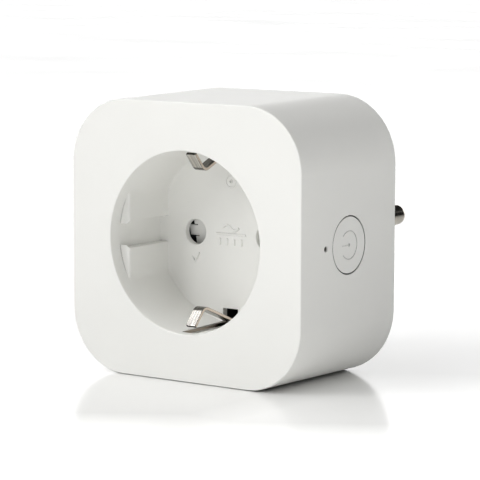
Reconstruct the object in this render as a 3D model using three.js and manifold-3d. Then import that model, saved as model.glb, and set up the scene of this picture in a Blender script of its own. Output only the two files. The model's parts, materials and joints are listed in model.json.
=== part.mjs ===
// Smart plug: a switched mains adapter with a recessed socket in front and a plug behind.
//
// Millimetres, +Z up. The socket looks towards -Y and the plug's pins point towards +Y.
// The origin is the middle of the object's underside. Every piece is modelled in the
// device frame: x and z are measured from the socket axis, and y is the depth behind
// the front face. The device group then lifts that frame into place.

import * as THREE from 'three';
import { mergeVertices } from 'three/addons/utils/BufferGeometryUtils.js';
import Module from 'manifold-3d';

const wasm = await Module();
wasm.setup();

// ---------------------------------------------------------------- driving dimensions

const gap = 0.3; // clearance between pieces that rest on each other

const faceSize = 60; // width and height of the front face
const depth = 36; // front face to rear edge of the housing
const draft = 0.6; // each side wall leans out by this much at the rear
const cornerRadius = 14;
const wall = 2;
const edgeRound = 0.4;

const recessDepth = 17.5;
const rimRadius = 19.65;
const floorRadius = 19.3;
const cupRadius = 21.4; // outside of the cup that forms the recess
const floorBack = 19; // rear face of the recess floor

const pinSpacing = 19;
const pinRadius = 2.4;
const pinLength = 19;
const pinHoleRadius = 2.8;

const bossRadius = 18.5;
const bossEnd = 54.2; // depth of the plug face
const bossWall = 2.5;

const guideFlat = 17.05; // flat inner faces of the guide blocks, from the axis
const guideStart = 3.3;
const guideGroove = [-2.75, 3.15];

const clipWidth = 2.6;
const clipThickness = 0.7;
const clipApex = new THREE.Vector2(6.1, 14.05); // depth and radius of the bend's corner
const clipBend = 2.2; // outer radius of the bend
const clipFrontAngle = 48.4 * Math.PI / 180;
const clipRearAngle = 21.64 * Math.PI / 180;
const clipFrontLeg = 5.35;
const clipPivotDepth = 20.2;
const slotWidth = 4;
const slotStart = 2.2;
const slotFloor = 22.4;
const slotInnerEnd = 16.3; // the slot's reach over the recess floor
const pocketHalf = 3.3; // half width of the pocket behind a slot
const pocketWall = 1.2;

const buttonDepth = 17.95; // centre of the button on the right-hand side
const buttonHeight = 0.1;
const buttonRadius = 6;
const buttonFace = 30.25;
const buttonClearance = 0.25;
const ledDepth = 9.15;
const lightHoleRadius = 0.65;
const sideHoles = [26, 32]; // reach of the two holes through the right-hand wall

const postPlace = 21.6; // the four screw posts, from the axis both ways
const postRadius = 2.9;
const pilotRadius = 1.3; // hole that a cover screw bites into
const pilotStart = 22;
const strapHalf = 2.2; // half width of the earth bow and of the earth contacts

const boardFront = 31.8;
const boardBack = 33.4;
const coverFront = 34;

const half = faceSize / 2;
const core = half - cornerRadius; // centres of the corner arcs
const pinX = pinSpacing / 2;
const tipDepth = bossEnd + pinLength;
// The underside is lowest where the rounding of its rear edge begins.
const bottomDrop = half + draft * (1 - edgeRound / depth);

// -------------------------------------------------------------------------- materials

function material(colour, roughness, metalness = 0) {
  return new THREE.MeshStandardMaterial({ color: colour, roughness, metalness });
}

const whitePlastic = material(0xf0f0ec, 0.4);
const greyPlastic = material(0xc9c9c5, 0.5);
const blackPlastic = material(0x1c1c1e, 0.55);
const nickel = material(0xb8aea0, 0.25, 1);
const brass = material(0xc7a55a, 0.3, 1);
const copper = material(0xb5673a, 0.35, 1);
const steel = material(0x9a9ca0, 0.35, 1);
const ferrite = material(0x35363a, 0.7);
const greenBoard = material(0x1f5a3a, 0.6);
const clearPlastic = material(0xe4ecef, 0.1);
const ceramic = material(0x2f6fb0, 0.6);
const tape = material(0xd8b23c, 0.5);

// ------------------------------------------------------------------- building blocks

// A closed geometry as a solid that can be cut and joined.
function solid(geometry) {
  const bare = geometry.clone();
  bare.deleteAttribute('normal');
  bare.deleteAttribute('uv');
  const merged = mergeVertices(bare, 1e-5);
  return new wasm.Manifold(new wasm.Mesh({
    numProp: 3,
    vertProperties: new Float32Array(merged.attributes.position.array),
    triVerts: new Uint32Array(merged.index.array),
  }));
}

// The finished solid as a geometry with flat facets.
function geometryOf(body) {
  const mesh = body.getMesh();
  const geometry = new THREE.BufferGeometry();
  geometry.setAttribute('position', new THREE.BufferAttribute(mesh.vertProperties, 3));
  geometry.setIndex(new THREE.BufferAttribute(mesh.triVerts, 1));
  return geometry;
}

function join(first, ...others) {
  return others.reduce((body, other) => body.add(other), first);
}

function cut(body, ...tools) {
  return tools.reduce((rest, tool) => rest.subtract(tool), body);
}

function block([x0, x1], [y0, y1], [z0, z1]) {
  const geometry = new THREE.BoxGeometry(x1 - x0, y1 - y0, z1 - z0);
  geometry.translate((x0 + x1) / 2, (y0 + y1) / 2, (z0 + z1) / 2);
  return solid(geometry);
}

// A round bar along the depth.
function rod(radius, [y0, y1], x = 0, z = 0, sides = 32) {
  const geometry = new THREE.CylinderGeometry(radius, radius, y1 - y0, sides);
  geometry.translate(x, (y0 + y1) / 2, z);
  return solid(geometry);
}

// A round bar across the object, along X.
function crossRod(radius, [x0, x1], y, z, sides = 32) {
  const geometry = new THREE.CylinderGeometry(radius, radius, x1 - x0, sides);
  geometry.rotateZ(-Math.PI / 2);
  geometry.translate((x0 + x1) / 2, y, z);
  return solid(geometry);
}

// A turned piece: [radius, depth] points in order of rising depth, revolved about Y.
function turned(points, sides = 48) {
  const profile = points.map(([radius, y]) => new THREE.Vector2(radius, y));
  return solid(new THREE.LatheGeometry(profile, sides));
}

// An outline in x and z, extruded along the depth.
function plate(outline, [y0, y1], bevel = 0) {
  const geometry = new THREE.ExtrudeGeometry(outline, {
    depth: y1 - y0 - 2 * bevel,
    bevelEnabled: bevel > 0,
    bevelSize: bevel,
    bevelOffset: -bevel,
    bevelThickness: bevel,
    bevelSegments: 2,
    curveSegments: 10,
  });
  geometry.rotateX(Math.PI / 2);
  geometry.translate(0, y1 - bevel, 0);
  return geometry;
}

// An outline in depth and z, extruded along X.
function sideProfile(outline, [x0, x1]) {
  const geometry = new THREE.ExtrudeGeometry(outline, {
    depth: x1 - x0, bevelEnabled: false, curveSegments: 8,
  });
  geometry.applyMatrix4(new THREE.Matrix4().makeBasis(
    new THREE.Vector3(0, 1, 0), new THREE.Vector3(0, 0, 1), new THREE.Vector3(1, 0, 0)));
  geometry.translate(x0, 0, 0);
  return solid(geometry);
}

function polygon(points) {
  return new THREE.Shape(points.map(([a, b]) => new THREE.Vector2(a, b)));
}

function roundedRectangle(halfWidth, halfHeight, radius) {
  const shape = new THREE.Shape();
  const cx = halfWidth - radius;
  const cz = halfHeight - radius;
  shape.absarc(cx, cz, radius, 0, Math.PI / 2);
  shape.absarc(-cx, cz, radius, Math.PI / 2, Math.PI);
  shape.absarc(-cx, -cz, radius, Math.PI, 1.5 * Math.PI);
  shape.absarc(cx, -cz, radius, 1.5 * Math.PI, 2 * Math.PI);
  return shape;
}

// The mould draft: a prism whose corner arcs are centred on the core lines spreads
// outwards in proportion to its depth.
function drafted(geometry, radius) {
  const places = geometry.attributes.position;
  for (let i = 0; i < places.count; i += 1) {
    const cx = THREE.MathUtils.clamp(places.getX(i), -core, core);
    const cz = THREE.MathUtils.clamp(places.getZ(i), -core, core);
    const spread = 1 + draft * places.getY(i) / depth / radius;
    places.setX(i, cx + (places.getX(i) - cx) * spread);
    places.setZ(i, cz + (places.getZ(i) - cz) * spread);
  }
  return solid(geometry);
}

function corners(place) {
  return [[place, place], [-place, place], [-place, -place], [place, -place]];
}

// ------------------------------------------------------------------- the object's tree

const smartPlug = new THREE.Group();
const device = new THREE.Group();
device.position.set(0, -tipDepth / 2, bottomDrop);
smartPlug.add(device);

function add(name, body, look, parent = device) {
  const mesh = new THREE.Mesh(geometryOf(body), look);
  mesh.name = name;
  parent.add(mesh);
  return mesh;
}

// --------------------------------------------------------------------------- housing

// The space that a plug goes into, without the four guide blocks at its sides.
function recessSpace() {
  const rimBevel = 0.3;
  const space = turned([
    [0, -rimBevel], [rimRadius + 2 * rimBevel, -rimBevel], [rimRadius, rimBevel],
    [floorRadius, recessDepth], [0, recessDepth],
  ], 72);
  const guides = [];
  for (const side of [1, -1]) {
    const across = [side * guideFlat, side * cupRadius].sort((a, b) => a - b);
    const along = [guideStart, recessDepth + gap];
    guides.push(block(across, along, [guideGroove[1], cupRadius]));
    guides.push(block(across, along, [-cupRadius, guideGroove[0]]));
  }
  return cut(space, ...guides);
}

// Slot in the cup wall and floor that an earth clip springs into; side is 1 or -1.
function clipSlot(side) {
  const across = [-slotWidth / 2, slotWidth / 2];
  const order = (a, b) => [side * a, side * b].sort((p, q) => p - q);
  return join(
    block(across, [slotStart, floorBack + 1], order(floorRadius - 1, slotFloor)),
    block(across, [recessDepth - gap, floorBack + 1], order(slotInnerEnd, slotFloor)),
  );
}

function clipPocket(side) {
  const walls = [side * (cupRadius - 1), side * (slotFloor + pocketWall)].sort((a, b) => a - b);
  return block([-pocketHalf, pocketHalf], [wall - 0.5, floorBack], walls);
}

function frontHousing() {
  const outside = drafted(
    plate(roundedRectangle(half, half, cornerRadius), [0, depth], edgeRound), cornerRadius);
  const innerRadius = cornerRadius - wall;
  const inside = drafted(
    plate(roundedRectangle(half - wall, half - wall, innerRadius), [wall, depth + 1]),
    innerRadius);
  let body = cut(outside, inside);

  body = join(body, rod(cupRadius, [wall - 0.5, floorBack], 0, 0, 72));
  body = join(body, clipPocket(1), clipPocket(-1));
  const postEnd = coverFront - gap;
  for (const [x, z] of corners(postPlace)) {
    body = join(body, rod(postRadius, [wall - 0.5, postEnd], x, z, 20));
    body = cut(body, rod(pilotRadius, [pilotStart, postEnd + 1], x, z, 12));
  }
  // Ribs that the main board rests on, above and below the cup.
  const ribReach = [wall - 0.5, boardFront - gap];
  const ribHalf = 0.7;
  for (const x of [-5.5, 5.5]) {
    for (const z of [[24.8, 29], [-29, -24.8]]) {
      body = join(body, block([x - ribHalf, x + ribHalf], ribReach, z));
    }
  }
  // Ribs that the control board rests on, beside the button.
  for (const z of [[9.6, 10.8], [-10.8, -9.6]]) {
    body = join(body, block([23.3, 29], [wall - 0.5, 28], z));
  }

  body = cut(body, recessSpace(), clipSlot(1), clipSlot(-1));
  for (const x of [-pinX, pinX]) {
    body = cut(body, rod(pinHoleRadius, [recessDepth - 1, floorBack + 1], x, 0, 32));
  }
  body = cut(body, crossRod(buttonRadius + buttonClearance, sideHoles, buttonDepth, buttonHeight, 48));
  body = cut(body, crossRod(lightHoleRadius, sideHoles, ledDepth, buttonHeight, 16));
  return body;
}

add('front_housing', frontHousing(), whitePlastic);

// ------------------------------------------------------------------------ rear cover

const bossCavity = [15, 14.6]; // half width and half height of the space in the boss
const earthGroove = 16.2; // floor of the two earth grooves, from the axis
const sleeveHeight = 10; // centre of the earth hole above the axis
const sleeveRadius = 2.9;
const sleeveBore = 2.5;
const strapEntry = [38.2, 39.6]; // depth of the opening for an earth contact
const notchFlat = 16.5; // floor of the side notches, from the axis
const notchRib = 2.4; // half height of the rib between two notches
const cavityRadius = 16.7;
const coverClearance = 0.35; // back plate to the side walls around it
const screwHoleRadius = 1.35;
const headHole = { radius: 2.8, start: 34.8 }; // counterbore for a screw head

function plugBoss() {
  const chamfer = 0.8;
  let boss = turned([
    [0, coverFront + 1], [bossRadius, coverFront + 1], [bossRadius, bossEnd - chamfer],
    [bossRadius - chamfer, bossEnd], [0, bossEnd],
  ], 64);
  // Side notches that clear a wall socket's guide blocks, each with a rib in the middle.
  for (const across of [[notchFlat, 20], [-20, -notchFlat]]) {
    for (const z of [[notchRib, 10.2], [-10.2, -notchRib]]) {
      boss = cut(boss, block(across, [38.5, bossEnd + 1], z));
    }
  }
  for (const z of [[earthGroove, 20], [-20, -earthGroove]]) {
    boss = cut(boss, block([-3, 3], [37.5, bossEnd + 1], z));
  }
  return boss;
}

function rearCover() {
  const edge = half - wall + draft - coverClearance;
  let body = solid(plate(roundedRectangle(edge, edge, edge - core), [coverFront, depth]));
  body = join(body, plugBoss());
  const [a, b] = bossCavity;
  const space = rod(cavityRadius, [coverFront - 1, bossEnd - bossWall], 0, 0, 48)
    .intersect(block([-a, a], [coverFront - 1, bossEnd], [-b, b]));
  body = cut(body, space);
  const throughEnd = [bossEnd - bossWall - 1, bossEnd + 1];
  for (const x of [-pinX, pinX]) {
    body = cut(body, rod(pinRadius + 0.25, throughEnd, x, 0));
  }
  body = cut(body, rod(sleeveRadius + gap, throughEnd, 0, sleeveHeight));
  for (const z of [[14, 17], [-17, -14]]) {
    body = cut(body, block([-2.6, 2.6], strapEntry, z));
  }
  for (const [x, z] of corners(postPlace)) {
    body = cut(body, rod(screwHoleRadius, [coverFront - 1, depth + 1], x, z, 16));
    body = cut(body, rod(headHole.radius, [headHole.start, depth + 1], x, z, 24));
  }
  return body;
}

add('rear_cover', rearCover(), whitePlastic);

// Flat-headed screws with a cross recess, one in each corner.
function coverScrew() {
  const point = 24;
  const shank = 1.05;
  const head = 2.4;
  const headFront = 35.1;
  const headBack = depth - 0.1;
  const [slotLength, slotHalf] = [1.3, 0.25];
  let body = turned([
    [0, point], [shank, point + 0.8], [shank, headFront], [head, headFront],
    [head, headBack], [0, headBack],
  ], 20);
  for (const [a, b] of [[slotLength, slotHalf], [slotHalf, slotLength]]) {
    body = cut(body, block([-a, a], [35.4, depth], [-b, b]));
  }
  return body;
}

const screwNames = ['upper_right', 'upper_left', 'lower_left', 'lower_right'];
corners(postPlace).forEach(([x, z], i) => {
  const screw = add(`cover_screw_${screwNames[i]}`, coverScrew(), steel);
  screw.position.set(x, 0, z);
});

// ------------------------------------------------------------------------ plug pins

function plugPin() {
  const tail = { radius: 1.8, start: 46 };
  const flange = { radius: 3.6, start: 50.3, end: 51.4 };
  const points = [
    [0, tail.start], [tail.radius, tail.start], [tail.radius, flange.start],
    [flange.radius, flange.start], [flange.radius, flange.end], [pinRadius, flange.end],
  ];
  const roundSteps = 5;
  for (let i = 0; i <= roundSteps; i += 1) {
    const angle = i / roundSteps * Math.PI / 2;
    points.push([
      i === roundSteps ? 0 : pinRadius * Math.cos(angle),
      tipDepth - pinRadius + pinRadius * Math.sin(angle),
    ]);
  }
  return turned(points, 28);
}

// A bent strip from the back of a pin forward to the main board.
function pinLink() {
  const strip = polygon([
    [45.7, -2], [45.7, 7.8], [33.7, 7.8], [33.7, 7], [44.9, 7], [44.9, -2],
  ]);
  return sideProfile(strip, [-1.5, 1.5]);
}

for (const [name, x] of [['live', pinX], ['neutral', -pinX]]) {
  add(`${name}_pin`, plugPin(), nickel).position.x = x;
  add(`${name}_pin_link`, pinLink(), brass).position.x = x;
}

// ---------------------------------------------------------------------- earth circuit

// A spring leaf bent to a V. Its outer face follows two straight legs and an arc.
function earthClip() {
  const front = new THREE.Vector2(-Math.cos(clipFrontAngle), Math.sin(clipFrontAngle));
  const rear = new THREE.Vector2(Math.cos(clipRearAngle), Math.sin(clipRearAngle));
  const turn = clipFrontAngle + clipRearAngle; // how far the strip bends
  const tangent = clipBend * Math.tan(turn / 2);
  const outwards = new THREE.Vector2(-rear.y, rear.x);
  const bendCentre = clipApex.clone().addScaledVector(rear, tangent)
    .addScaledVector(outwards, clipBend);
  const rearLeg = (clipPivotDepth - clipApex.x) / rear.x;
  const pivot = clipApex.clone().addScaledVector(rear, rearLeg)
    .addScaledVector(outwards, clipThickness / 2);
  const tip = clipApex.clone().addScaledVector(front, clipFrontLeg);
  const tipInside = tip.clone().add(new THREE.Vector2(front.y, -front.x)
    .multiplyScalar(clipThickness));

  const shape = new THREE.Shape();
  const startAngle = -Math.PI / 2 - clipFrontAngle;
  const endAngle = -Math.PI / 2 + clipRearAngle;
  shape.moveTo(tip.x, tip.y);
  shape.absarc(bendCentre.x, bendCentre.y, clipBend, startAngle, endAngle, false);
  shape.absarc(pivot.x, pivot.y, clipThickness / 2, endAngle, endAngle + Math.PI, false);
  shape.absarc(bendCentre.x, bendCentre.y, clipBend - clipThickness, endAngle, startAngle, true);
  shape.lineTo(tipInside.x, tipInside.y);
  return sideProfile(shape, [-clipWidth / 2, clipWidth / 2]);
}

// A bow behind the cup. Its two rails at each end lie in the slot, beside the sprung clip.
function earthBridge() {
  const rails = [];
  for (const x of [[-1.9, -1.6], [1.6, 1.9]]) {
    for (const z of [[19.5, 20.1], [-20.1, -19.5]]) {
      rails.push(block(x, [2.5, 21.4], z));
    }
  }
  return join(sideProfile(polygon([
    [20.9, 20.3], [31.4, 20.3], [31.4, -20.3], [20.9, -20.3],
    [20.9, -19.6], [30.6, -19.6], [30.6, 19.6], [20.9, 19.6],
  ]), [-strapHalf, strapHalf]), ...rails);
}

// The strip in a groove of the plug, turned inwards and forward to meet the bridge.
function rearEarthContact() {
  return sideProfile(polygon([
    [53.2, 17.3], [38.5, 17.3], [38.5, 14.2], [31.7, 14.2],
    [31.7, 13.4], [39.3, 13.4], [39.3, 16.5], [53.2, 16.5],
  ]), [-strapHalf, strapHalf]);
}

function earthSleeve() {
  const ring = cut(rod(sleeveRadius, [36.5, 53.9]), rod(sleeveBore, [36, 54.5]));
  return join(ring, block([-1.2, 1.2], [36.5, 39], [sleeveBore + 0.1, sleeveRadius + 0.2]));
}

// Two like pieces face each other across the axis: the lower one is turned half a turn.
// The upper clip stands a little further out.
for (const [place, turn, raise] of [['top', 0, 0.6], ['bottom', Math.PI, 0]]) {
  const clip = add(`earth_clip_${place}`, earthClip(), nickel);
  clip.rotation.y = turn;
  clip.position.z = raise;
  add(`rear_earth_contact_${place}`, rearEarthContact(), nickel).rotation.y = turn;
}
add('earth_bridge', earthBridge(), nickel);
add('earth_sleeve', earthSleeve(), nickel).position.z = sleeveHeight;

// ------------------------------------------------------- shutter and socket contacts

// Two ramps on a hub. A plug's pins press both ramps and so turn it out of the way.
const rampHalf = 3.2; // half height of a ramp
const hubReach = [19.5, 21.5];

function shutterRamp(reach) {
  return sideProfile(polygon([
    [19.4, -rampHalf], [20.7, rampHalf], [21.6, rampHalf], [20.3, -rampHalf],
  ]), reach);
}

// The narrow end of a ramp, beyond the step that shows in the pin hole.
function rampTongue() {
  return shutterRamp([10.5, 12.8]).intersect(block([10, 13], [19, 22], [-1.15, 1.15]));
}

function safetyShutter() {
  const hub = rod(4.6, hubReach, 0, 0, 24);
  const wing = join(shutterRamp([3.5, 11.4]), rampTongue());
  const otherWing = solid(geometryOf(wing).rotateY(Math.PI));
  return cut(join(hub, wing, otherWing), rod(1.75, [19, 22], 0, 0, 20));
}

add('safety_shutter', safetyShutter(), greyPlastic);

class Helix extends THREE.Curve {
  constructor(radius, start, end, turns) {
    super();
    Object.assign(this, { radius, start, end, turns });
  }

  getPoint(t, target = new THREE.Vector3()) {
    const angle = 2 * Math.PI * this.turns * t;
    return target.set(
      this.radius * Math.cos(angle),
      this.start + (this.end - this.start) * t,
      this.radius * Math.sin(angle),
    );
  }
}

function shutterSpring() {
  const wire = new THREE.Shape().absarc(0, 0, 0.25, 0, 2 * Math.PI);
  return solid(new THREE.ExtrudeGeometry(wire, {
    steps: 40, curveSegments: 3, extrudePath: new Helix(2.7, 22.4, 24.1, 3),
  }));
}

add('shutter_spring', shutterSpring(), steel);

// The insulating block behind the shutter, with its pivot and the contact pockets.
function contactCarrier() {
  let body = solid(plate(roundedRectangle(15.5, 8.8, 2), [21.9, 30.2]));
  body = cut(body, rod(4.2, [21, 24.6], 0, 0, 24));
  body = join(body, rod(1.4, [19.8, 25], 0, 0, 20));
  for (const x of [-pinX, pinX]) {
    body = cut(body, block([x - 3.1, x + 3.1], [21, 31], [-2.9, 3.7]));
  }
  return body;
}

add('contact_carrier', contactCarrier(), blackPlastic);

// Two spring leaves joined along the top, with a foot on the main board.
function socketContact() {
  const section = polygon([
    [-2.8, -2.6], [-2, -2.6], [-2, 2.6], [2, 2.6], [2, -2.6], [2.8, -2.6], [2.8, 3.4], [-2.8, 3.4],
  ]);
  return join(
    solid(plate(section, [22.3, 31.5])),
    block([-1.5, 1.5], [30.7, 31.5], [3, 7]),
  );
}

for (const [name, x] of [['live', pinX], ['neutral', -pinX]]) {
  add(`${name}_socket_contact`, socketContact(), copper).position.x = x;
}

// ----------------------------------------------------------------- button and light

function powerButton() {
  const back = 27;
  const flange = 27.8;
  const inner = 28.7;
  const cap = cut(
    join(
      crossRod(buttonRadius + 1, [back, flange], 0, 0, 48),
      crossRod(buttonRadius, [back, buttonFace], 0, 0, 48),
    ),
    crossRod(buttonRadius - 1, [back - 1, inner], 0, 0, 32),
  );
  return join(cap, crossRod(1.3, [26.9, inner + 0.5], 0, 0, 16));
}

const buttonGroup = new THREE.Group();
buttonGroup.position.set(0, buttonDepth, buttonHeight);
device.add(buttonGroup);

add('power_button', powerButton(), whitePlastic, buttonGroup);
add('button_switch', cut(
  block([23.3, 25.9], [-3, 3], [-3, 3]),
  crossRod(1.9, [24.2, 27], 0, 0, 20),
), blackPlastic, buttonGroup);
add('switch_plunger', crossRod(1.6, [24.9, 26.6], 0, 0, 20), greyPlastic, buttonGroup);

add('control_board', block([22, 23], [4, 30], [-9.2, 9.2]), greenBoard);
add('board_connector', block([21.9, 23.1], [30.3, 31.5], [-3, 3]), blackPlastic);

const lightGroup = new THREE.Group();
lightGroup.position.set(0, ledDepth, buttonHeight);
device.add(lightGroup);

add('indicator_led', block([23.3, 24.1], [-0.8, 0.8], [-0.4, 0.4]), clearPlastic, lightGroup);
add('light_pipe', join(
  crossRod(1.5, [24.4, 27.8], 0, 0, 20),
  crossRod(0.45, [27, 29], 0, 0, 12),
), clearPlastic, lightGroup);

// ------------------------------------------------------------------------ main board

function mainBoard() {
  let body = rod(27, [boardFront, boardBack], 0, 0, 64);
  for (const x of [-pinX, pinX]) {
    body = cut(body, rod(4.6, [boardFront - 1, boardBack + 1], x, 0, 24));
  }
  for (const z of [[12.9, 14.7], [-14.7, -12.9]]) {
    body = cut(body, block([-2.6, 2.6], [boardFront - 1, boardBack + 1], z));
  }
  return body;
}

add('main_board', mainBoard(), greenBoard);

const partsEnd = boardFront - gap; // parts on the board stand forward of it

function boardBox(name, x, z, [y0, y1], look) {
  add(name, block(x, [y0, y1], z), look);
}

function boardCan(name, radius, x, z, y0, look) {
  add(name, rod(radius, [y0, partsEnd - 0.1], 0, 0, 24), look).position.set(x, 0, z);
}

const bulkHeight = 14.3; // clear of the shutter's tip when it has turned
boardCan('bulk_capacitor_inner', 4, -8, bulkHeight, 19.8, blackPlastic);
boardCan('bulk_capacitor_outer', 4, -17, bulkHeight, 19.8, blackPlastic);
boardCan('filter_inductor', 3, -10.5, 21.2, 20.5, greyPlastic);
boardCan('fusible_resistor', 1.8, 8, 21.5, 21, ceramic);
boardBox('suppression_capacitor', [4, 15], [11, 17], [19.8, partsEnd - 0.1], tape);
boardBox('bridge_rectifier', [-2.5, 2.5], [-8, -4], [33.7, 35.8], blackPlastic);
boardBox('power_chip', [-2.5, 2.5], [-1.5, 2.5], [33.7, 35.2], blackPlastic);
boardBox('wifi_board', [-26.6, -25.8], [-9, 9], [8, partsEnd - 0.1], greenBoard);
boardBox('wifi_shield', [-25.5, -23.1], [-7, 7], [13, 27], steel);
add('varistor', crossRod(5.2, [17, 21], 25.4, 11, 28), ceramic);

// The mains transformer: a figure-of-eight ferrite core and the winding on its middle leg.
function transformerCore() {
  const body = block([-6.5, 6.5], [23.5, 27.5], [-5.75, 5.75]);
  return cut(body,
    block([1.5, 4.8], [23, 28], [-4, 4]),
    block([-4.8, -1.5], [23, 28], [-4, 4]));
}

function transformerWinding() {
  return cut(
    block([-4.5, 4.5], [21.2, 29.8], [-3.7, 3.7]),
    block([-1.8, 1.8], [23.2, 27.8], [-4, 4]),
  );
}

const transformerGroup = new THREE.Group();
transformerGroup.position.set(9.9, 0, -15.2);
device.add(transformerGroup);
add('transformer_core', transformerCore(), ferrite, transformerGroup);
add('transformer_winding', transformerWinding(), tape, transformerGroup);

// ----------------------------------------------------------------------------- relay

const relayGroup = new THREE.Group();
relayGroup.position.set(-10.55, 0, -15);
device.add(relayGroup);

const coilX = 1.7; // axis of the coil, from the middle of the relay
const contactX = -5.2; // where the two relay contacts meet

function relayCover() {
  return cut(
    block([-7.65, 7.65], [19.7, 31.2], [-5.1, 5.1]),
    block([-6.95, 6.95], [20.4, 32], [-4.4, 4.4]),
  );
}

function relayYoke() {
  return join(
    block([-1.9, 6.2], [28.6, 29.5], [-3, 3]),
    block([5.4, 6.2], [21.7, 29.5], [-3, 3]),
    rod(1.1, [21.9, 29], coilX, 0, 20),
  );
}

function relayFixedContact() {
  return join(
    block([contactX - 0.7, contactX + 0.7], [22.7, 29.5], [-1.5, 1.5]),
    rod(0.6, [22.25, 23], contactX, 0, 16),
  );
}

function relayMovingContact() {
  return join(
    block([contactX - 1.2, -1.9], [21, 21.25], [-1.6, 1.6]),
    rod(0.6, [21.1, 21.8], contactX, 0, 16),
  );
}

add('relay_cover', relayCover(), blackPlastic, relayGroup);
add('relay_base', block([-6.65, 6.65], [29.8, 31], [-4.1, 4.1]), blackPlastic, relayGroup);
add('relay_yoke', relayYoke(), steel, relayGroup);
add('relay_coil', cut(
  rod(3.2, [22.4, 28.3], coilX, 0, 28),
  rod(1.4, [22, 29], coilX, 0, 20),
), copper, relayGroup);
add('relay_armature', block([-1.6, 6.2], [20.9, 21.5], [-2.8, 2.8]), steel, relayGroup);
add('relay_moving_contact', relayMovingContact(), copper, relayGroup);
add('relay_fixed_contact', relayFixedContact(), brass, relayGroup);

export default smartPlug;
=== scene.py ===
"""Looks of a smart plug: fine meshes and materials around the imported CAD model.

The shapes are written in millimetres in the device frame: x and z from the socket axis,
y the depth behind the front face. device() places them in the model's own frame, in metres.
"""

import json
from math import acos, atan2, cos, degrees, pi, radians, sin, sqrt, tan

import bmesh
import bpy
from mathutils import Matrix, Vector


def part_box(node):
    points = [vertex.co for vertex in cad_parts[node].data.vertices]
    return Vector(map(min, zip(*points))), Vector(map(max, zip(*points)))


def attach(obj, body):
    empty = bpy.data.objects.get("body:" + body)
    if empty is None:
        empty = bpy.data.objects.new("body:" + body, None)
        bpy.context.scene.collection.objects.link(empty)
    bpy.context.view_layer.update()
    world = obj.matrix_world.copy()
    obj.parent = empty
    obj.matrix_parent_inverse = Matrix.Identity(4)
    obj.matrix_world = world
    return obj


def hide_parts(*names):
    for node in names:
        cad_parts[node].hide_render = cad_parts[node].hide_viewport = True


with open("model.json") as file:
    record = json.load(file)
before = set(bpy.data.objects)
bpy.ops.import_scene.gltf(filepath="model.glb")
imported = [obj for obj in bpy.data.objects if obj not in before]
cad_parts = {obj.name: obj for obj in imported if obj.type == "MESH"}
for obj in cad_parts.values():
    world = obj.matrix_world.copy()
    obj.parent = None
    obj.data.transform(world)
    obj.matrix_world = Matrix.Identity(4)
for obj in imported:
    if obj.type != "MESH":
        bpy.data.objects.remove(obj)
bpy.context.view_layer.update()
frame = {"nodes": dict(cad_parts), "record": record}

# ------------------------------------------------------------------ driving dimensions

MM = 0.001
FRONT_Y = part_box("front_housing")[0].y / MM
AXIS_Z = sum(corner.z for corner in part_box("live_pin")) / 2 / MM

FACE_HALF = 30.0
DEPTH = 36.0
DRAFT = 0.6  # each side wall leans out by this much at the rear
CORNER = 14.0
WALL = 2.0
RECESS_DEPTH = 17.5
RIM_RADIUS = 19.65
FLOOR_RADIUS = 19.3
CUP_RADIUS = 21.4
FLOOR_BACK = 19.0
PIN_X = 9.5
PIN_RADIUS = 2.4
PIN_HOLE = 2.8
GUIDE_FLAT = 17.05
GUIDE_START = 3.3
GUIDE_GROOVE = (-2.75, 3.15)
SLOT_HALF = 2.0  # half width of the slot that an earth clip springs into
SLOT_START = 2.2
SLOT_INNER = 16.3  # the slot's reach over the recess floor
SLOT_OUTER = 22.4
BLEND = 0.3  # how widely the corners of guide blocks and side notches are rounded
POST = 21.6  # the screw posts, from the axis both ways
POST_RADIUS = 2.9
POST_BORE = 1.3
COVER_FRONT = 34.0
BOSS_RADIUS = 18.5
BOSS_END = 54.2
BOSS_FLAT = 16.5  # floor of the side notches in the plug boss, from the axis
BOSS_RIB = 2.4  # half height of the rib between two notches
EARTH_GROOVE = 16.2  # floor of the two earth grooves, from the axis
SLEEVE_Z = 10.0
SLEEVE_RADIUS = 2.9
TIP = BOSS_END + 19.0
BUTTON_DEPTH = 17.95
BUTTON_Z = 0.1
BUTTON_RADIUS = 6.06
BUTTON_GAP = 0.28
LED_DEPTH = 9.15
LED_HOLE = 0.62
LEAN = atan2(DRAFT, DEPTH)


def device(x, y, z):
    """A point of the device frame in the model's frame, in metres."""
    return Vector((x, FRONT_Y + y, AXIS_Z + z)) * MM


# ------------------------------------------------------------------------ mesh helpers


def fillet(corners, steps=5):
    """A path through (a, b, radius) corners, each rounded to its radius by an arc."""
    path = []
    last = len(corners) - 1
    for i, (a, b, radius) in enumerate(corners):
        here = Vector((a, b))
        if radius == 0 or i in (0, last):
            path.append(here)
            continue
        back = (Vector(corners[i - 1][:2]) - here).normalized()
        ahead = (Vector(corners[i + 1][:2]) - here).normalized()
        half_angle = back.angle(ahead) / 2
        start = here + back * (radius / tan(half_angle))
        centre = here + (back + ahead).normalized() * (radius / sin(half_angle))
        sweep = pi - 2 * half_angle
        arm = start - centre
        turn = -sweep if back.x * ahead.y - back.y * ahead.x > 0 else sweep
        for k in range(steps + 1):
            path.append(centre + Matrix.Rotation(turn * k / steps, 2) @ arm)
    return path


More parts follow.
